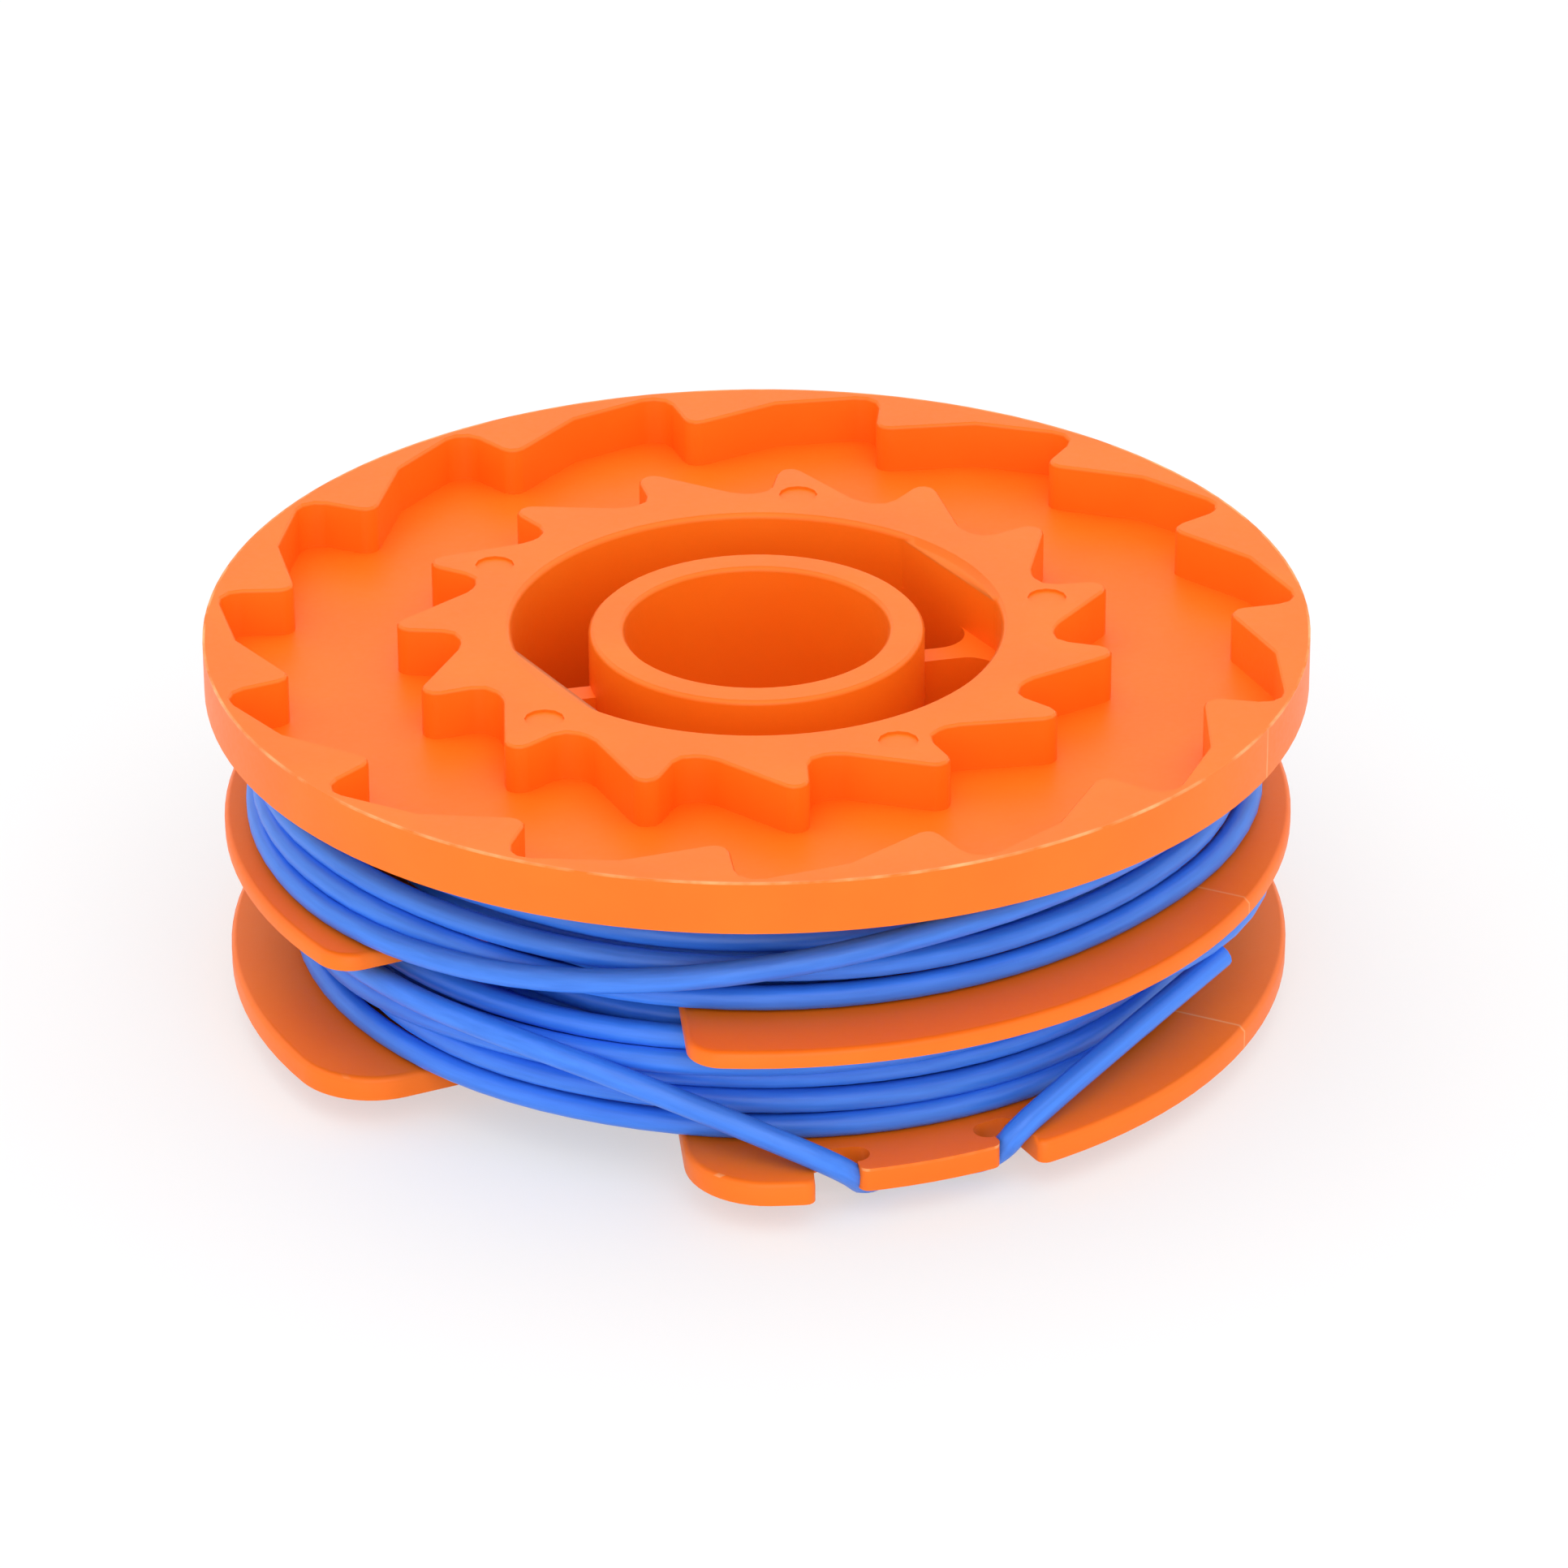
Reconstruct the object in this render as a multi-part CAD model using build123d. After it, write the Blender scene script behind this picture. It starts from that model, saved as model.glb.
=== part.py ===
"""Trimmer line spool: one moulding with three flanges, and a line wound in each of its two bays.

Millimetres, +Z up. The origin is on the bore's axis, level with the foot of the hub.
Angles are in degrees, anticlockwise seen from above, from +X.
"""
import os
from math import ceil, copysign, cos, hypot, radians, sin, tan

from build123d import *

# Heights, stacked from the foot of the hub up to the top of the ratchet rim
foot_play = 0.5
bottom_flange_thickness = 1.5
lower_bay_height = 7.75
middle_flange_thickness = 1.05
upper_bay_height = 7.2
top_plate_thickness = 1.3
recess_depth = 3.1

# Round sizes of the moulding
rim_diameter = 67.0
middle_flange_diameter = 65.2
bottom_flange_diameter = 65.0
core_diameter = 34.0
well_diameter = 29.7
boss_diameter = 20.4
bore_diameter = 16.0

# Ratchet rim: inward teeth with a steep face and a slope of two straight stretches
tooth_count = 15
rim_wall = 0.15
rim_tooth_depth = 4.9
rim_kink_depth = 1.9
rim_skirt = 0.2
rim_cone_width = 2.6
rim_tip_angle = 2.5
rim_face_sweep = 1.6
rim_kink_sweep = 13.0
rim_tip_round = 0.9
rim_valley_round = 1.3

# Ratchet star: outward teeth, steep on their anticlockwise side
star_root_diameter = 36.2
star_tooth_depth = 4.9
star_tip_angle = 13.8
star_face_sweep = 1.6
star_root_sweep = 6.1
star_tip_round = 0.9
star_foot_round = 1.2
star_root_round = 1.6

# Marks of the ejector pins on the star's top
pin_mark_count = 5
pin_mark_sides = 12
pin_mark_diameter = 2.4
pin_mark_depth = 0.15
pin_mark_inset = 3.1
pin_mark_angle = 9.5

# Inside of the hub: two flats, two webs that carry the boss, and the lead-ins
flat_depth = 0.9
flat_angle = 32.0
web_thickness = 1.6
web_drop = 3.6
web_round = 2.0
web_angle = 12.8
boss_drop = 0.35
bore_lead_in = 0.3
well_lead_in = 0.35

# Gaps that run through the middle and bottom flanges, one on each side
gap_angle = 244.8
gap_apex = 13.8
gap_left_flank = -40.3
gap_right_flank = 30.4
middle_corner_round = 2.2
bottom_corner_round = 5.0

# Line slots of the bottom flange, on both sides of a set-back tab with undercut flanks
entry_slot_angle = 278.2
slot_spread = 20.6
entry_slot_play = 1.2
return_slot_play = 0.5
slot_depth = 2.9
tab_setback = 1.0
undercut = 0.85

# Broken edges, and the largest turn between the flats of a rounded tooth corner
tooth_edge_break = 0.2
flange_edge_break = 0.35
flat_turn = 42.0

# Trimmer line, and the turns that show at the outside of each bay
line_diameter = 1.5
line_clearance = 0.1
line_sides = 8
lower_build = 10.9
upper_side_build = 13.3
upper_front_build = 11.2
winding_sides = 40
ridge_height = 0.5
crest_start = 0.28
strand_web_share = 0.6
strand_sweep = 15.0

# Upper line's outer turn: step out from the turns below it, angle, and share of its climb in the bay
outer_turn = [
    (0.0, 142.5, 0.0), (-0.002, 150, 0.0), (0.45, 165, 0.0), (0.3, 180, 0.0), (0.3, 195, 0.0),
    (0.25, 210, 0.0), (0.25, 224, 0.0), (0.25, 237, 0.07), (0.25, 250, 0.2), (0.25, 263, 0.39),
    (0.3, 276, 0.6), (0.3, 289, 0.8), (0.25, 303, 0.9), (0.25, 318, 0.97), (0.2, 333, 1.0),
    (0.0, 345, 1.0),
]
outer_turn_play = 0.25

# Lower line's end up to the entry slot: step out from the turns, angle before the slot, share of the bay
slot_approach = [
    (0.0, 120.7, 0.787), (0.248, 113.2, 0.787), (0.25, 98.2, 0.787), (0.25, 83.2, 0.787),
    (0.25, 68.2, 0.787), (0.25, 53.2, 0.787), (0.25, 39.2, 0.755), (0.3, 26.2, 0.615), (0.85, 13.2, 0.37),
]

# Lower line's end through the slots: step out from the pockets, angle past the slot, and its free tip
entry_above = (1.4, -1.4)
entry_below = (0.0, 2.0)
under_tab_step = -0.35
return_below = (-0.15, -0.8)
return_above = (1.7, 0.3)
slot_rise = 0.2
tip_inset = 1.1
tip_sweep = 34.6
tip_height = 5.3

# Derived sizes of the line and its slots
line_radius = line_diameter / 2
line_room = line_radius + line_clearance
entry_slot_width = line_diameter + entry_slot_play
return_slot_width = line_diameter + return_slot_play
return_slot_angle = entry_slot_angle + slot_spread

# Derived heights
skirt_height = line_diameter + line_clearance + foot_play
bottom_flange_top = skirt_height + bottom_flange_thickness
middle_flange_bottom = bottom_flange_top + lower_bay_height
middle_flange_top = middle_flange_bottom + middle_flange_thickness
top_plate_bottom = middle_flange_top + upper_bay_height
recess_floor = top_plate_bottom + top_plate_thickness
spool_top = recess_floor + recess_depth

# Derived radii
rim_radius = rim_diameter / 2
middle_radius = middle_flange_diameter / 2
bottom_radius = bottom_flange_diameter / 2
core_radius = core_diameter / 2
well_radius = well_diameter / 2
boss_radius = boss_diameter / 2
bore_radius = bore_diameter / 2
hub_wall_radius = (core_radius + well_radius) / 2
star_root_radius = star_root_diameter / 2
lower_crest = (core_radius + lower_build, core_radius + lower_build)
upper_crest = (core_radius + upper_side_build, core_radius + upper_front_build)
pocket_radius = bottom_radius - slot_depth
tooth_pitch = 360 / tooth_count
half_turns = (0, 180)


def polar(radius, angle, height=0.0):
    """Point at a radius, an angle and a height."""
    return Vector(radius * cos(radians(angle)), radius * sin(radians(angle)), height)


def plan_radius(point):
    """Distance of a point from the spool's axis."""
    return hypot(point.X, point.Y)


def prism(outline, bottom, top):
    """Flat outline raised between two heights."""
    return Pos(0, 0, bottom) * extrude(outline, amount=top - bottom)


def turned(shape, angle):
    """Shape turned about the spool's axis."""
    return Rotation(0, 0, angle) * shape


def rounded_corner(before, corner, after, radius):
    """Points of a corner rounded off in short flats."""
    inward = (before - corner).normalized()
    outward = (after - corner).normalized()
    turn = 180 - inward.get_angle(outward)
    flats = ceil(turn / flat_turn)
    setback = radius * tan(radians(turn) / 2)
    centre = corner + (inward + outward).normalized() * radius / cos(radians(turn) / 2)
    start = corner + inward * setback - centre
    side = copysign(turn, inward.cross(outward).Z)
    return [centre + start.rotate(Axis.Z, -side * flat / flats) for flat in range(flats + 1)]


def toothed_outline(corners, rounds):
    """Face inside a ring of teeth, each given by its corners and their roundings."""
    turns = [tooth * tooth_pitch for tooth in range(tooth_count)]
    ring = [polar(radius, angle + turn) for turn in turns for radius, angle in corners]
    outline = []
    for index, corner in enumerate(ring):
        radius = rounds[index % len(rounds)]
        before = ring[index - 1]
        after = ring[(index + 1) % len(ring)]
        outline += rounded_corner(before, corner, after, radius) if radius else [corner]
    return make_face(Polyline(*outline, close=True))


def rim_outline():
    """Inner outline of the rim: tip, valley and kink of each tooth."""
    valley_radius = rim_radius - rim_wall
    corners = [
        (valley_radius - rim_tooth_depth, rim_tip_angle),
        (valley_radius, rim_tip_angle + rim_face_sweep),
        (valley_radius - rim_kink_depth, rim_tip_angle + rim_kink_sweep),
    ]
    return toothed_outline(corners, [rim_tip_round, rim_valley_round, 0])


def star_outline():
    """Outline of the star: tip, foot of the steep face and start of the next slope."""
    foot_angle = star_tip_angle + star_face_sweep
    corners = [
        (star_root_radius + star_tooth_depth, star_tip_angle),
        (star_root_radius, foot_angle),
        (star_root_radius, foot_angle + star_root_sweep),
    ]
    return toothed_outline(corners, [star_tip_round, star_foot_round, star_root_round])


def ratchet_flange():
    """Top flange: a dished plate with the toothed rim, and the star standing in its recess."""
    profile = Polyline(
        (well_radius, top_plate_bottom),
        (rim_radius - rim_cone_width, top_plate_bottom),
        (rim_radius, recess_floor - rim_skirt),
        (rim_radius, spool_top),
        (well_radius + well_lead_in, spool_top),
        (well_radius, spool_top - well_lead_in),
        close=True,
    )
    flange = revolve(Plane.XZ * make_face(profile), Axis.Z)
    flange -= prism(rim_outline() - star_outline(), recess_floor, spool_top + recess_depth)
    for face in flange.faces().filter_by(Plane.XY).group_by(Axis.Z)[-1]:
        for wire in face.wires():
            if len(wire.edges()) > tooth_count:
                flange = flange.chamfer(tooth_edge_break, None, wire.edges())
    return flange


def gap_wedge():
    """Outline of the two gaps that are left out of the middle and bottom flanges."""
    reach = rim_diameter
    flank = [polar(reach, angle) for angle in (gap_left_flank, gap_right_flank)]
    wedge = Pos(gap_apex, 0) * make_face(Polyline((0, 0), flank[0], flank[1], close=True))
    return [turned(wedge, gap_angle + half_turn) for half_turn in half_turns]


def gapped_disc(radius, corner_round):
    """Ring round the hub with both gaps cut out and the corners beside them rounded."""
    disc = Circle(radius) - gap_wedge()
    corners = disc.vertices().filter_by(lambda corner: plan_radius(corner) > core_radius)
    return fillet(corners, corner_round) - Circle(hub_wall_radius)


def flange_plate(outline, bottom, top):
    """Flange with the outer edge of its upper side broken."""
    plate = prism(outline, bottom, top)
    upper_edges = plate.edges().group_by(Axis.Z)[-1]
    outer_edges = upper_edges.filter_by(lambda edge: plan_radius(edge @ 0.5) > core_radius)
    return chamfer(outer_edges, flange_edge_break)


def slot_outline(angle, width, tab_side):
    """Slot with a pocket that undercuts the tab on one side."""
    pocket_width = 2 * line_room
    mouth_length = slot_depth + line_diameter
    mouth = Pos(pocket_radius + mouth_length / 2, 0) * Rectangle(mouth_length, width)
    pocket_reach = width / 2 + undercut
    near_end = Pos(pocket_radius, tab_side * (pocket_reach - line_room)) * Circle(line_room)
    far_end = Pos(pocket_radius, tab_side * (pocket_width - width) / 2) * Circle(line_room)
    pocket = make_hull([*near_end.edges(), *far_end.edges()])
    return turned(mouth + pocket, angle)


def line_slots():
    """Outline of the two slots and of the strip that sets the tab back between them."""
    entry = slot_outline(entry_slot_angle, entry_slot_width, 1)
    back = slot_outline(return_slot_angle, return_slot_width, -1)
    ring = Circle(bottom_radius + line_diameter) - Circle(bottom_radius - tab_setback)
    sector = make_face(Polyline((0, 0), polar(bottom_flange_diameter, entry_slot_angle),
                                polar(bottom_flange_diameter, return_slot_angle), close=True))
    outline = entry + back + (ring & sector)
    return [turned(outline, half_turn) for half_turn in half_turns]


def bottom_flange():
    """Bottom flange with the gaps and the line slots."""
    disc = gapped_disc(bottom_radius, bottom_corner_round)
    plate = flange_plate(disc, skirt_height, bottom_flange_top)
    for slots in line_slots():
        plate -= prism(slots, 0, bottom_flange_top + line_diameter)
    return plate


def well_outline():
    """Opening of the hub: a circle with two flats."""
    across_flats = 2 * (well_radius - flat_depth)
    return Circle(well_radius) & turned(Rectangle(across_flats, well_diameter), flat_angle)


def hub():
    """Hub that the line is wound on, with the bored boss, its webs and the floor inside."""
    well = well_outline()
    web = turned(Rectangle(well_diameter, web_thickness), web_angle)
    chambers = well - Circle(boss_radius) - web
    middle_radius_of_well = (boss_radius + well_radius) / 2
    wall_corners = chambers.vertices().filter_by(lambda corner: plan_radius(corner) > middle_radius_of_well)
    chambers = fillet(wall_corners, web_round)
    boss = prism(Circle(boss_radius) - Circle(bore_radius), 0, spool_top - boss_drop)
    boss = chamfer(boss.edges().group_by(Axis.Z)[-1], bore_lead_in)
    tube = prism(Circle(core_radius) - well, 0, spool_top - well_lead_in)
    disc = Circle(core_radius) - Circle(bore_radius)
    webs = prism(disc - chambers, bottom_flange_top, spool_top - web_drop)
    floor = prism(disc, skirt_height, bottom_flange_top)
    return tube + webs + floor + boss


def pin_marks():
    """Shallow round marks of the ejector pins."""
    mark = RegularPolygon(pin_mark_diameter / 2, pin_mark_sides)
    radius = well_radius + pin_mark_inset
    spread = 360 / pin_mark_count
    cut = prism(mark, spool_top - pin_mark_depth, spool_top + pin_mark_depth)
    return [Pos(polar(radius, pin_mark_angle + index * spread)) * cut for index in range(pin_mark_count)]


def spool_body():
    """The whole moulding."""
    body = hub() + ratchet_flange()
    middle_ring = gapped_disc(middle_radius, middle_corner_round)
    body += flange_plate(middle_ring, middle_flange_bottom, middle_flange_top)
    body += bottom_flange()
    return body - pin_marks()


def oval(crest, share):
    """Many-sided outline of a winding, at a share of its crest's size."""
    turns = [side * 360 / winding_sides for side in range(winding_sides)]
    across = crest[0] * share
    along = crest[1] * share
    corners = [(across * cos(radians(turn)), along * sin(radians(turn))) for turn in turns]
    return make_face(Polyline(*corners, close=True))


def strand_radius(crest, angle):
    """Radius of a strand that lies on a winding's crest."""
    reach = hypot(crest[1] * cos(radians(angle)), crest[0] * sin(radians(angle)))
    return crest[0] * crest[1] / reach + line_room


def winding(crest, bottom, height, radius, strand_angle, strand_height):
    """Wound line of one bay: ridges of the outer layer, and the strand that the line's end leaves from."""
    turns = round(height / line_diameter)
    pitch = height / turns
    valley_share = 1 - ridge_height / crest[1]
    levels = [(valley_share, bottom)]
    for turn in range(turns):
        foot = bottom + turn * pitch
        levels.append((1, foot + crest_start * pitch))
        levels.append((1, foot + (1 - crest_start) * pitch))
        levels.append((valley_share, foot + pitch))
    sections = [Pos(0, 0, level) * oval(crest, share) for share, level in levels]
    roll = loft(sections, ruled=True) - prism(Circle(core_radius), bottom, bottom + height)
    web_length = line_room + 2 * ridge_height
    section = Pos(radius, strand_height) * RegularPolygon(line_radius, line_sides)
    web = Rectangle(web_length, line_diameter * strand_web_share)
    section += Pos(radius - web_length / 2, strand_height) * web
    arc = revolve(Plane.XZ * section, Axis.Z, revolution_arc=strand_sweep)
    return roll + turned(arc, strand_angle - strand_sweep)


def upper_tail_route():
    """Outer turn of the upper line, climbing from the middle flange to the top plate."""
    low = middle_flange_top + line_radius + outer_turn_play
    high = top_plate_bottom - line_radius - outer_turn_play
    return [
        (strand_radius(upper_crest, angle) + step, angle, low + climb * (high - low))
        for step, angle, climb in outer_turn
    ]


def lower_tail_route():
    """End of the lower line: off the turns, down the entry slot, under the tab and up the return slot."""
    approach = [
        (strand_radius(lower_crest, entry_slot_angle - before) + step, entry_slot_angle - before,
         bottom_flange_top + share * lower_bay_height)
        for step, before, share in slot_approach
    ]
    above = bottom_flange_top + line_radius + slot_rise
    below = skirt_height - line_room
    passage = [
        (pocket_radius + entry_above[0], entry_slot_angle + entry_above[1], above),
        (pocket_radius + entry_below[0], entry_slot_angle + entry_below[1], below),
        (pocket_radius + under_tab_step, entry_slot_angle + slot_spread / 2, below),
        (pocket_radius + return_below[0], return_slot_angle + return_below[1], below),
        (pocket_radius + return_above[0], return_slot_angle + return_above[1], above),
    ]
    tip = (bottom_radius - tip_inset, return_slot_angle + tip_sweep, bottom_flange_top + tip_height)
    return [*approach, *passage, tip]


def line_tail(route):
    """Line end as a tube: straight runs joined by the largest arcs that they allow."""
    points = [polar(*place) for place in route]
    runs = [after - before for before, after in zip(points, points[1:])]
    radii = []
    for before, after in zip(runs, runs[1:]):
        shorter = min(before.length, after.length)
        radii.append(0.45 * shorter / tan(radians(before.get_angle(after)) / 2))
    path = FilletPolyline(*points, radius=radii)
    start = Plane(origin=path @ 0, z_dir=path % 0)
    section = RegularPolygon(line_radius, line_sides)
    tube = sweep(start * section, path=path)
    section_times_length = section.area * path.length
    print("line end length", round(path.length, 1), "radii", [round(radius, 1) for radius in radii],
          "volume", round(tube.volume, 2), "of", round(section_times_length, 2))
    return tube


upper_route = upper_tail_route()
lower_route = lower_tail_route()
nodes = {
    "spool_body": spool_body(),
    "upper_line_winding": winding(upper_crest, middle_flange_top, upper_bay_height, *upper_route[0]),
    "lower_line_winding": winding(lower_crest, bottom_flange_top, lower_bay_height, *lower_route[0]),
    "upper_line_tail": line_tail(upper_route),
    "lower_line_tail": line_tail(lower_route),
}
os.makedirs("parts", exist_ok=True)
for name, solid in nodes.items():
    export_step(solid, f"parts/{name}.step")
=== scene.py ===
import math

import bmesh
import bpy
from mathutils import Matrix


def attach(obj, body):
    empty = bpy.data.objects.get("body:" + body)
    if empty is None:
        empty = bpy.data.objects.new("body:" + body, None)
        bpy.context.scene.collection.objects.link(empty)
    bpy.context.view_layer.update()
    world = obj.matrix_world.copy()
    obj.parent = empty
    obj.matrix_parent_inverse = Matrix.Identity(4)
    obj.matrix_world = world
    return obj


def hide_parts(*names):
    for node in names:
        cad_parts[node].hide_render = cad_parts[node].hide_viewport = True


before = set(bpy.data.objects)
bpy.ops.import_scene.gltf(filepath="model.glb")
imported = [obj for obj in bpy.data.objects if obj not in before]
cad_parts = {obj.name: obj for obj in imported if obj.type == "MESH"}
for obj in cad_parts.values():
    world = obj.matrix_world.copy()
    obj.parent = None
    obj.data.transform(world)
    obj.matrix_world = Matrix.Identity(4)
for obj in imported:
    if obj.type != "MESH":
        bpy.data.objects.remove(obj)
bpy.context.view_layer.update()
mm = 0.001

# The photograph's camera, found from the rounds of the rim, the boss and the flanges.
camera_place = (0, -426.928 * mm, 235.931 * mm)
camera_turn = (62.41008, 0.25968, -0.35238)
camera_lens = 180.654

# The two lines, in metres.
line_diameter = 1.5 * mm
lower_line_length = 4.0
upper_line_length = 3.85

# The bays that they are wound in, in millimetres. A bay is the lowest and highest middle of a strand.
first_layer_radius = 17.8
layers = 6
turns_per_layer = 3.75
points_per_turn = 16
lower_bay = (4.4, 10.55)
upper_bay = (13.2, 18.8)
lower_inner_radius = 25.2
upper_inner_radius = 24.9

# The outer turns, from the inner one to the outer one. Each has its radius and height every 18 degrees,
# from 162 degrees at the left, past the front at 270, and round the back.
turn_start = 162
turn_step = 18
upper_outer_turns = [
    [
        (26.6, 18.7), (27.2, 18.7), (27.2, 18.65), (26.9, 18.6), (26.5, 18.5),
        (26.3, 18.4), (26.2, 18.3), (26.3, 18.25), (26.4, 18.2), (26.7, 18.2),
        (27.1, 18.2), (27.3, 18.15), (27.2, 18.1), (27.0, 18.05), (26.7, 18.0),
        (26.5, 17.9), (26.5, 17.8), (26.8, 17.75), (27.4, 17.7), (28.2, 17.6),
    ],
    [
        (29.0, 17.55), (29.2, 17.5), (29.0, 17.45), (27.9, 17.3), (26.8, 17.0),
        (26.5, 16.6), (26.5, 16.5), (26.55, 16.55), (26.7, 16.6), (27.0, 16.7),
        (27.5, 16.8), (27.9, 16.8), (27.8, 16.75), (27.5, 16.7), (27.0, 16.65),
        (26.7, 16.6), (26.6, 16.5), (26.9, 16.4), (27.7, 16.3), (29.0, 16.15),
    ],
    [
        (29.9, 16.05), (30.0, 16.05), (29.95, 16.1), (28.95, 15.85), (27.85, 15.4),
        (27.6, 15.3), (27.65, 15.25), (27.7, 14.95), (27.75, 14.95), (28.0, 14.9),
        (28.7, 14.82), (29.0, 14.9), (28.9, 15.05), (28.6, 15.05), (28.1, 15.0),
        (27.8, 14.95), (27.7, 14.9), (28.1, 14.85), (28.8, 14.75), (29.8, 14.7),
    ],
    [
        (30.1, 14.65), (30.1, 14.62), (30.2, 14.6), (29.6, 14.55), (28.15, 13.85),
        (27.55, 13.3), (27.5, 13.2), (27.6, 13.18), (27.8, 13.18), (28.25, 13.18),
        (29.5, 13.18), (30.3, 13.18), (30.2, 13.18), (29.3, 13.18), (28.6, 13.18),
        (28.0, 13.18), (27.8, 13.18), (28.1, 13.18), (28.9, 13.18), (30.1, 13.18),
    ],
]
lower_outer_turns = [
    [
        (27.95, 4.37), (28.0, 4.37), (27.65, 4.37), (27.3, 4.37), (27.05, 4.4),
        (26.9, 4.42), (27.1, 4.38), (27.4, 4.37), (27.6, 4.37), (27.55, 4.37),
        (27.45, 4.38), (27.3, 4.4), (27.2, 4.45), (27.1, 4.5), (27.0, 4.6),
        (26.9, 4.75), (26.8, 4.95), (26.6, 5.1), (26.4, 5.2), (26.2, 5.45),
    ],
    [
        (26.1, 5.6), (26.0, 5.55), (26.0, 5.5), (26.35, 5.65), (27.0, 6.1),
        (27.1, 6.28), (27.1, 6.12), (27.15, 5.9), (27.25, 5.72), (27.25, 5.75),
        (27.2, 5.85), (27.1, 5.95), (27.05, 6.05), (27.0, 6.1), (27.0, 6.1),
        (27.0, 6.1), (27.05, 6.2), (27.15, 6.35), (27.2, 6.45), (27.5, 6.25),
    ],
    [
        (27.6, 6.0), (27.7, 5.85), (27.5, 5.85), (27.2, 6.8), (27.0, 7.65),
        (26.92, 7.72), (26.9, 7.68), (26.95, 7.55), (27.05, 7.38), (27.1, 7.3),
        (27.1, 7.4), (27.1, 7.55), (27.1, 7.65), (27.15, 7.75), (27.2, 7.8),
        (27.3, 7.9), (27.4, 8.0), (27.5, 8.1), (27.6, 8.2), (27.65, 8.2),
    ],
    [
        (27.6, 8.0), (27.6, 7.7), (27.6, 7.6), (27.6, 8.2), (27.75, 8.75),
        (27.85, 8.9), (27.8, 8.95), (27.75, 9.0), (27.7, 9.0), (27.65, 9.05),
        (27.6, 9.1), (27.55, 9.15), (27.5, 9.2), (27.4, 9.3), (27.3, 9.4),
        (27.2, 9.5), (27.0, 9.55), (27.0, 9.7), (27.0, 9.8), (27.0, 9.95),
    ],
    [
        (27.2, 10.1), (27.2, 10.15), (27.2, 10.2), (27.2, 10.2), (27.15, 10.2),
        (27.1, 10.18), (27.1, 10.25), (27.2, 10.35), (28.3, 10.4), (30.9, 10.25),
        (31.55, 10.15), (30.3, 10.25), (29.4, 10.35), (29.1, 10.4), (29.0, 10.4),
        (29.0, 10.35), (29.0, 10.3), (29.1, 10.2), (29.0, 10.1), (28.9, 9.9),
    ],
]

# The bottom flange's slots: where they lie, in degrees from the spool's right and the same on the far side,
# and how the corners beside them are rounded.
slot_sector = (94, 122)
slot_inside_radius = 30.6 * mm
tab_outside_radius = 31.6 * mm
bottom_flange_top = 3.6 * mm
height_play = 0.1 * mm
upright_rise = 0.2 * mm
corner_round = 0.65 * mm
tab_edge_round = 0.22 * mm

# Two faces that meet at more than this make a crisp edge.
crisp_angle = math.radians(58)

# Where the two sides of the mould met, in degrees; the line shows on all three flanges.
parting_line = 334

# The pale flash and the painted edge highlight, as bands of radius, of height or, for the parting line, of
# width, in millimetres.
rim_wall_radius = (33.4, 34)
rim_edge_height = (23.9, 24.5)
tab_edge_radius = (31.25, 31.45)
tab_edge_height = (3.42, 3.56)
lower_flange_radius = (27.8, 34)
lower_flange_height = (2, 13)
rim_wall_height = (19, 23.85)
parting_line_width = (-0.05, 0.05)

# The last turn of each line, as radius, angle and height.
upper_end = [
    (30.75, 165, 13.18), (30.75, 180, 13.18), (30.85, 195, 13.18), (30.75, 210, 13.18), (30.15, 224, 13.25),
    (29.6, 237, 13.55), (29.4, 250, 14.35), (29.35, 263, 15.42), (29.35, 276, 16.5), (29.4, 289, 17.45),
    (29.6, 303, 18.0), (30.0, 318, 18.45), (30.4, 333, 18.65), (30.5, 345, 18.7),
]
lower_end = [
    (28.9, 165, 9.75), (29.3, 180, 9.72), (29.75, 195, 9.7), (29.6, 210, 9.7), (29.35, 225, 9.7),
    (29.3, 236, 9.66), (29.35, 244, 9.3), (29.3, 252.3, 8.47), (29.55, 264.6, 6.52), (31.3, 276, 4.57),
    (30.8, 279.9, 3.0), (29.3, 281.8, 1.35), (28.3, 285.5, 1.3), (28.1, 288.5, 1.3), (28.3, 292, 1.3),
    (29.3, 296.4, 1.35), (30.7, 298.2, 2.9), (31.3, 299.4, 4.55), (31.4, 332.5, 8.8),
]


def camera_of_the_photograph():
    data = bpy.data.cameras.new("photo_camera")
    data.lens = camera_lens
    data.sensor_width = 36
    data.clip_start = 0.01
    camera = bpy.data.objects.new("photo_camera", data)
    camera.location = camera_place
    camera.rotation_euler = [math.radians(turn) for turn in camera_turn]
    bpy.context.collection.objects.link(camera)
    bpy.context.scene.camera = camera


def round_point(radius, degrees, height):
    """A point at a radius and an angle about the bore and a height over the floor."""
    angle = math.radians(degrees)
    return (radius * math.cos(angle) * mm, radius * math.sin(angle) * mm, height * mm)


def reach_for(step_degrees):
    """How far out a turn's points stand, since the smooth line runs inside them."""
    return 1 / math.cos(math.radians(step_degrees / 2))


def inner_turns(bay, last_layer_radius, up_first):
    """The turns from the hub outwards, one layer up the bay and the next one down."""
    steps = round(points_per_turn * turns_per_layer)
    step_degrees = 360 / points_per_turn
    reach = reach_for(step_degrees)
    first_degrees = turn_start - layers * steps * step_degrees
    points = []
    for layer in range(layers):
        radius = first_layer_radius + (last_layer_radius - first_layer_radius) * layer / (layers - 1)
        upward = (layer % 2 == 0) == up_first
        for step in range(steps):
            share = step / (steps - 1)
            if not upward:
                share = 1 - share
            degrees = first_degrees + (layer * steps + step) * step_degrees
            points.append(round_point(radius * reach, degrees, bay[0] + share * (bay[1] - bay[0])))
    return points


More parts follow.
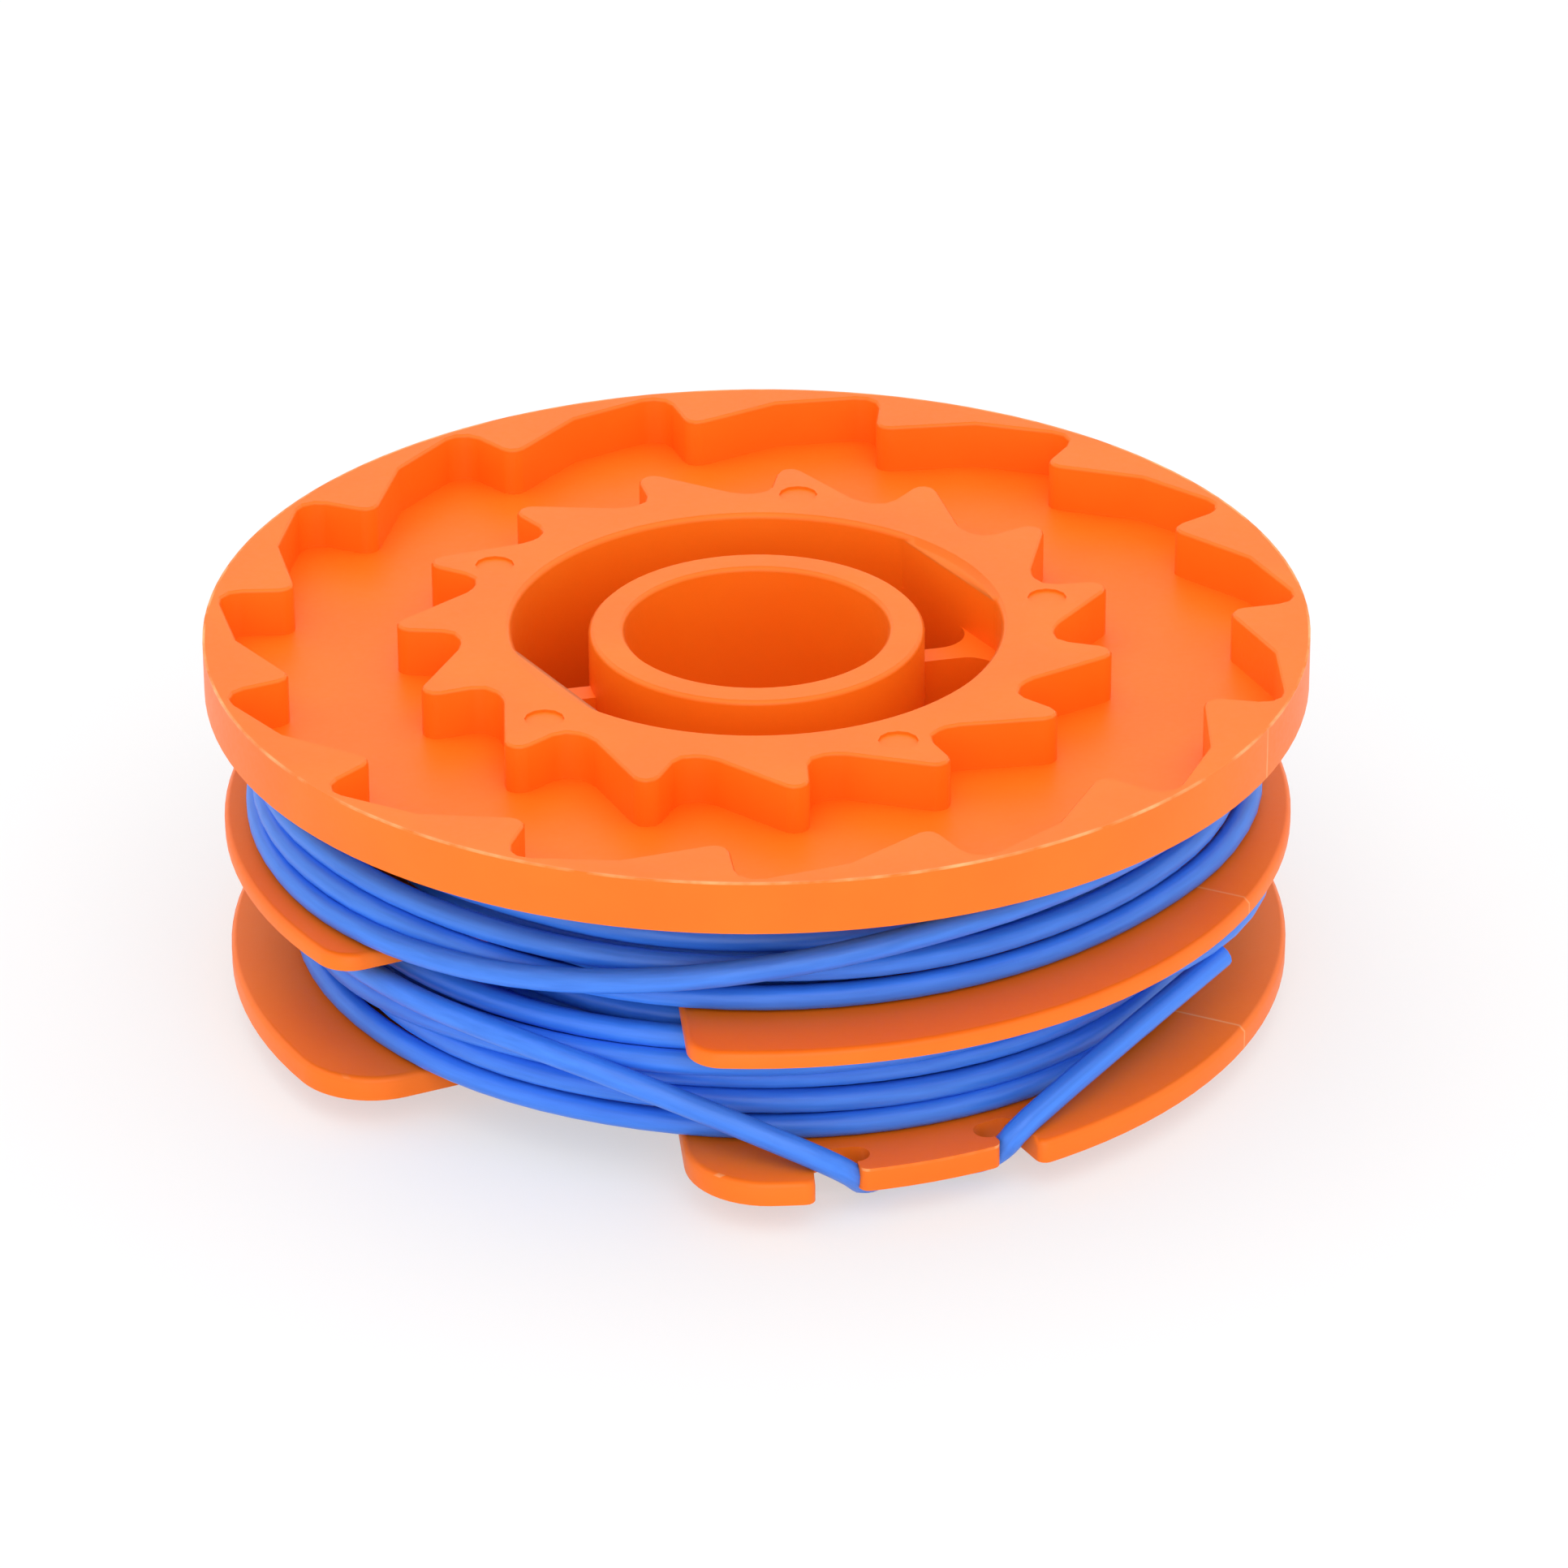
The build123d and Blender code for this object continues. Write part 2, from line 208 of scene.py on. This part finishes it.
def outer_turns(turns):
    """The turns that show, each at its own radius and height all the way round."""
    reach = reach_for(turn_step)
    points = []
    for turn in turns:
        for place, (radius, height) in enumerate(turn):
            points.append(round_point(radius * reach, turn_start + place * turn_step, height))
    return points


def line(name, points):
    data = bpy.data.curves.new(name, "CURVE")
    data.dimensions = "3D"
    data.bevel_depth = line_diameter / 2
    data.bevel_resolution = 4
    data.resolution_u = 4
    data.use_fill_caps = True
    spline = data.splines.new("NURBS")
    spline.points.add(len(points) - 1)
    for knot, point in zip(spline.points, points):
        knot.co = (*point, 1)
    spline.order_u = 3
    spline.use_endpoint_u = True
    piece = bpy.data.objects.new(name, data)
    bpy.context.collection.objects.link(piece)
    return piece


def beside_a_slot(edge):
    """Whether an edge lies on the bottom flange's rim where the line slots and the tab are."""
    middle = (edge.verts[0].co + edge.verts[1].co) / 2
    degrees = math.degrees(math.atan2(middle.y, middle.x)) % 180
    low_enough = middle.z < bottom_flange_top + height_play
    return low_enough and middle.xy.length > slot_inside_radius and slot_sector[0] < degrees < slot_sector[1]


def on_tab_top(vert):
    return vert.co.z > bottom_flange_top - height_play / 2 and vert.co.xy.length < tab_outside_radius


def is_crisp(edge):
    return edge.is_convex and edge.calc_face_angle() > crisp_angle


def is_upright(edge):
    return abs(edge.verts[0].co.z - edge.verts[1].co.z) > upright_rise


def rounded(shape, edges, width, segments):
    bmesh.ops.bevel(
        shape, geom=edges, offset=width, offset_type="OFFSET", affect="EDGES", segments=segments, profile=0.5,
        material=-1, clamp_overlap=True,
    )


def soft_edged_body():
    """The moulding with round corners at its slots and its broken edges shaded round."""
    shape = bmesh.new()
    shape.from_mesh(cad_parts["spool_body"].data)
    bmesh.ops.remove_doubles(shape, verts=shape.verts, dist=0.001 * mm)
    bmesh.ops.dissolve_limit(shape, angle_limit=math.radians(0.5), verts=shape.verts, edges=shape.edges)
    corners = [edge for edge in shape.edges if beside_a_slot(edge) and is_crisp(edge) and is_upright(edge)]
    rounded(shape, corners, corner_round, segments=4)
    tab_top = [
        edge for edge in shape.edges
        if beside_a_slot(edge) and is_crisp(edge) and all(on_tab_top(vert) for vert in edge.verts)
    ]
    rounded(shape, tab_top, tab_edge_round, segments=2)
    for face in shape.faces:
        face.smooth = True
    for edge in shape.edges:
        edge.smooth = edge.calc_face_angle() < crisp_angle
    data = bpy.data.meshes.new("moulded_spool")
    shape.to_mesh(data)
    shape.free()
    if "custom_normal" in data.attributes:
        data.attributes.remove(data.attributes["custom_normal"])
    piece = bpy.data.objects.new("moulded_spool", data)
    bpy.context.collection.objects.link(piece)
    weighted = piece.modifiers.new("even_flats", "WEIGHTED_NORMAL")
    weighted.keep_sharp = True
    weighted.weight = 80
    return piece


def in_band(tree, value, band, soft):
    """One where a length in millimetres lies in a band, falling to nothing over a soft edge."""
    low, high = band
    rise = tree.nodes.new("ShaderNodeMapRange")
    rise.interpolation_type = "SMOOTHSTEP"
    rise.inputs["From Min"].default_value = (low - soft) * mm
    rise.inputs["From Max"].default_value = low * mm
    tree.links.new(value, rise.inputs["Value"])
    fall = tree.nodes.new("ShaderNodeMapRange")
    fall.interpolation_type = "SMOOTHSTEP"
    fall.inputs["From Min"].default_value = high * mm
    fall.inputs["From Max"].default_value = (high + soft) * mm
    fall.inputs["To Min"].default_value = 1
    fall.inputs["To Max"].default_value = 0
    tree.links.new(value, fall.inputs["Value"])
    return joined(tree, "MULTIPLY", rise.outputs["Result"], fall.outputs["Result"])


def joined(tree, operation, first, second):
    """The result of two values, such as their product or the larger of them."""
    node = tree.nodes.new("ShaderNodeMath")
    node.operation = operation
    tree.links.new(first, node.inputs[0])
    tree.links.new(second, node.inputs[1])
    return node.outputs["Value"]


def pale_flash_and_highlight(tree, place):
    """Where the moulding is painted pale: flash with a painted highlight along the rim's top edge and the
    tab's edge, and the mould's parting line.
    """
    parts = tree.nodes.new("ShaderNodeSeparateXYZ")
    tree.links.new(place, parts.inputs["Vector"])
    height = parts.outputs["Z"]
    flat = tree.nodes.new("ShaderNodeVectorMath")
    flat.operation = "MULTIPLY"
    flat.inputs[1].default_value = (1, 1, 0)
    tree.links.new(place, flat.inputs[0])
    from_axis = tree.nodes.new("ShaderNodeVectorMath")
    from_axis.operation = "LENGTH"
    tree.links.new(flat.outputs["Vector"], from_axis.inputs[0])
    radius = from_axis.outputs["Value"]
    rim_side = in_band(tree, radius, rim_wall_radius, soft=0.08)
    rim_edge = joined(tree, "MULTIPLY", rim_side, in_band(tree, height, rim_edge_height, soft=0.06))
    tab_side = in_band(tree, radius, tab_edge_radius, soft=0.06)
    tab_edge = joined(tree, "MULTIPLY", tab_side, in_band(tree, height, tab_edge_height, soft=0.04))
    edges = joined(tree, "MAXIMUM", rim_edge, tab_edge)
    scatter = tree.nodes.new("ShaderNodeTexNoise")
    scatter.inputs["Scale"].default_value = 210
    scatter.inputs["Detail"].default_value = 4
    scatter.inputs["Roughness"].default_value = 0.65
    tree.links.new(place, scatter.inputs["Vector"])
    flecks = tree.nodes.new("ShaderNodeMapRange")
    flecks.inputs["From Min"].default_value = 0.4
    flecks.inputs["From Max"].default_value = 0.66
    tree.links.new(scatter.outputs["Fac"], flecks.inputs["Value"])
    # Pale flecks on the rim's top edge and the tab's edge: partly flash, partly a painted highlight where
    # these edges catch the light.
    flash_and_highlight = joined(tree, "MULTIPLY", edges, flecks.outputs["Result"])
    turned = tree.nodes.new("ShaderNodeVectorRotate")
    turned.rotation_type = "Z_AXIS"
    turned.inputs["Angle"].default_value = math.radians(-parting_line)
    tree.links.new(place, turned.inputs["Vector"])
    sides = tree.nodes.new("ShaderNodeSeparateXYZ")
    tree.links.new(turned.outputs["Vector"], sides.inputs["Vector"])
    flange_width = in_band(tree, radius, lower_flange_radius, soft=0.3)
    flanges = joined(tree, "MULTIPLY", flange_width, in_band(tree, height, lower_flange_height, soft=0.1))
    rim_face = in_band(tree, radius, rim_wall_radius, soft=0.05)
    rim_wall = joined(tree, "MULTIPLY", rim_face, in_band(tree, height, rim_wall_height, soft=0.1))
    seen_on = joined(tree, "MAXIMUM", flanges, rim_wall)
    line_width = in_band(tree, sides.outputs["Y"], parting_line_width, soft=0.06)
    on_line = joined(tree, "MULTIPLY", line_width, seen_on)
    faint = joined(tree, "MULTIPLY", on_line, scatter.outputs["Fac"])
    return joined(tree, "MAXIMUM", flash_and_highlight, faint)


def moulded_orange():
    material = bpy.data.materials.new("moulded_orange")
    material.use_nodes = True
    tree = material.node_tree
    nodes = tree.nodes
    links = tree.links
    shader = nodes["Principled BSDF"]
    shader.inputs["Specular IOR Level"].default_value = 0.32
    place = nodes.new("ShaderNodeTexCoord").outputs["Object"]
    cloud = nodes.new("ShaderNodeTexNoise")
    cloud.inputs["Scale"].default_value = 120
    cloud.inputs["Detail"].default_value = 4
    links.new(place, cloud.inputs["Vector"])
    tint = nodes.new("ShaderNodeValToRGB")
    tint.color_ramp.elements[0].position = 0.3
    tint.color_ramp.elements[0].color = (0.98, 0.168, 0.004, 1)
    tint.color_ramp.elements[1].position = 0.7
    tint.color_ramp.elements[1].color = (1.0, 0.192, 0.006, 1)
    links.new(cloud.outputs["Fac"], tint.inputs["Fac"])
    flash_and_highlight = pale_flash_and_highlight(tree, place)
    # The pale colour is flash on the parting line and, on the rim's and tab's edges, flash with a painted
    # highlight.
    whitened = nodes.new("ShaderNodeMix")
    whitened.data_type = "RGBA"
    whitened.inputs[7].default_value = (1.0, 0.46, 0.18, 1)
    links.new(flash_and_highlight, whitened.inputs["Factor"])
    links.new(tint.outputs["Color"], whitened.inputs[6])
    links.new(whitened.outputs[2], shader.inputs["Base Color"])
    grain = nodes.new("ShaderNodeTexNoise")
    grain.inputs["Scale"].default_value = 2600
    grain.inputs["Detail"].default_value = 3
    links.new(place, grain.inputs["Vector"])
    gloss = nodes.new("ShaderNodeMapRange")
    gloss.inputs["To Min"].default_value = 0.36
    gloss.inputs["To Max"].default_value = 0.5
    links.new(grain.outputs["Fac"], gloss.inputs["Value"])
    links.new(gloss.outputs["Result"], shader.inputs["Roughness"])
    bump = nodes.new("ShaderNodeBump")
    bump.inputs["Strength"].default_value = 0.12
    bump.inputs["Distance"].default_value = 0.00005
    links.new(grain.outputs["Fac"], bump.inputs["Height"])
    links.new(bump.outputs["Normal"], shader.inputs["Normal"])
    return material


def blue_line():
    material = bpy.data.materials.new("blue_line")
    material.use_nodes = True
    nodes = material.node_tree.nodes
    links = material.node_tree.links
    shader = nodes["Principled BSDF"]
    place = nodes.new("ShaderNodeTexCoord")
    draw = nodes.new("ShaderNodeMapping")
    draw.inputs["Scale"].default_value = (900, 14, 1)
    links.new(place.outputs["UV"], draw.inputs["Vector"])
    streak = nodes.new("ShaderNodeTexNoise")
    streak.inputs["Scale"].default_value = 1
    streak.inputs["Detail"].default_value = 3
    links.new(draw.outputs["Vector"], streak.inputs["Vector"])
    tint = nodes.new("ShaderNodeValToRGB")
    tint.color_ramp.elements[0].position = 0.3
    tint.color_ramp.elements[0].color = (0.032, 0.19, 0.8, 1)
    tint.color_ramp.elements[1].position = 0.72
    tint.color_ramp.elements[1].color = (0.052, 0.25, 0.95, 1)
    links.new(streak.outputs["Fac"], tint.inputs["Fac"])
    links.new(tint.outputs["Color"], shader.inputs["Base Color"])
    gloss = nodes.new("ShaderNodeMapRange")
    gloss.inputs["To Min"].default_value = 0.34
    gloss.inputs["To Max"].default_value = 0.48
    links.new(streak.outputs["Fac"], gloss.inputs["Value"])
    links.new(gloss.outputs["Result"], shader.inputs["Roughness"])
    return material


def pale_floor():
    """A floor that is white to the camera and in reflections, and keeps the object's shadow."""
    material = bpy.data.materials.new("pale_floor")
    material.use_nodes = True
    nodes = material.node_tree.nodes
    links = material.node_tree.links
    shader = nodes["Principled BSDF"]
    shader.inputs["Base Color"].default_value = (0.92, 0.92, 0.92, 1)
    shader.inputs["Roughness"].default_value = 0.9
    shader.inputs["Specular IOR Level"].default_value = 0
    white = nodes.new("ShaderNodeEmission")
    path = nodes.new("ShaderNodeLightPath")
    seen = nodes.new("ShaderNodeMath")
    seen.operation = "MAXIMUM"
    links.new(path.outputs["Is Camera Ray"], seen.inputs[0])
    links.new(path.outputs["Is Glossy Ray"], seen.inputs[1])
    share = nodes.new("ShaderNodeMath")
    share.operation = "MULTIPLY"
    share.inputs[1].default_value = 0.55
    links.new(seen.outputs["Value"], share.inputs[0])
    blend = nodes.new("ShaderNodeMixShader")
    links.new(share.outputs["Value"], blend.inputs["Fac"])
    links.new(shader.outputs["BSDF"], blend.inputs[1])
    links.new(white.outputs["Emission"], blend.inputs[2])
    links.new(blend.outputs["Shader"], nodes["Material Output"].inputs["Surface"])
    return material


def soft_lamp(name, place, size, power):
    """A square soft box that looks at the middle of the spool."""
    data = bpy.data.lights.new(name, "AREA")
    data.energy = power
    data.size = size
    lamp = bpy.data.objects.new(name, data)
    lamp.location = place
    across = math.hypot(place[0], place[1])
    lamp.rotation_euler = (math.atan2(across, place[2]), 0, math.atan2(place[0], -place[1]))
    bpy.context.collection.objects.link(lamp)


def studio():
    scene = bpy.context.scene
    scene.view_settings.view_transform = "Standard"
    world = bpy.data.worlds.new("studio")
    scene.world = world
    world.use_nodes = True
    world.node_tree.nodes["Background"].inputs["Color"].default_value = (1, 1, 1, 1)
    world.node_tree.nodes["Background"].inputs["Strength"].default_value = 1.0
    floor_mesh = bpy.data.meshes.new("floor")
    shape = bmesh.new()
    bmesh.ops.create_grid(shape, x_segments=1, y_segments=1, size=3)
    shape.to_mesh(floor_mesh)
    shape.free()
    floor = bpy.data.objects.new("floor", floor_mesh)
    bpy.context.collection.objects.link(floor)
    floor_mesh.materials.append(pale_floor())
    soft_lamp("overhead", place=(-0.15, 0.1, 0.6), size=0.4, power=0.2)
    soft_lamp("front_fill", place=(-0.1, -0.6, 0.12), size=0.3, power=0.3)
    soft_lamp("front_key", place=(0.05, -0.45, 0.5), size=0.45, power=0.9)


camera_of_the_photograph()

orange = moulded_orange()
blue = blue_line()

upper_points = inner_turns(upper_bay, upper_inner_radius, False) + outer_turns(upper_outer_turns)
upper_points += [round_point(*point) for point in upper_end]
lower_points = inner_turns(lower_bay, lower_inner_radius, True) + outer_turns(lower_outer_turns)
lower_points += [round_point(*point) for point in lower_end]
upper_line = line("upper_line", upper_points)
lower_line = line("lower_line", lower_points)
for piece, points, length, nodes in (
    (upper_line, upper_points, upper_line_length, ("upper_line_winding", "upper_line_tail")),
    (lower_line, lower_points, lower_line_length, ("lower_line_winding", "lower_line_tail")),
):
    piece.data.materials.append(blue)
    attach(piece, "root")
    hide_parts(*nodes)

body = soft_edged_body()
body.data.materials.append(orange)
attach(body, "root")
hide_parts("spool_body")

studio()
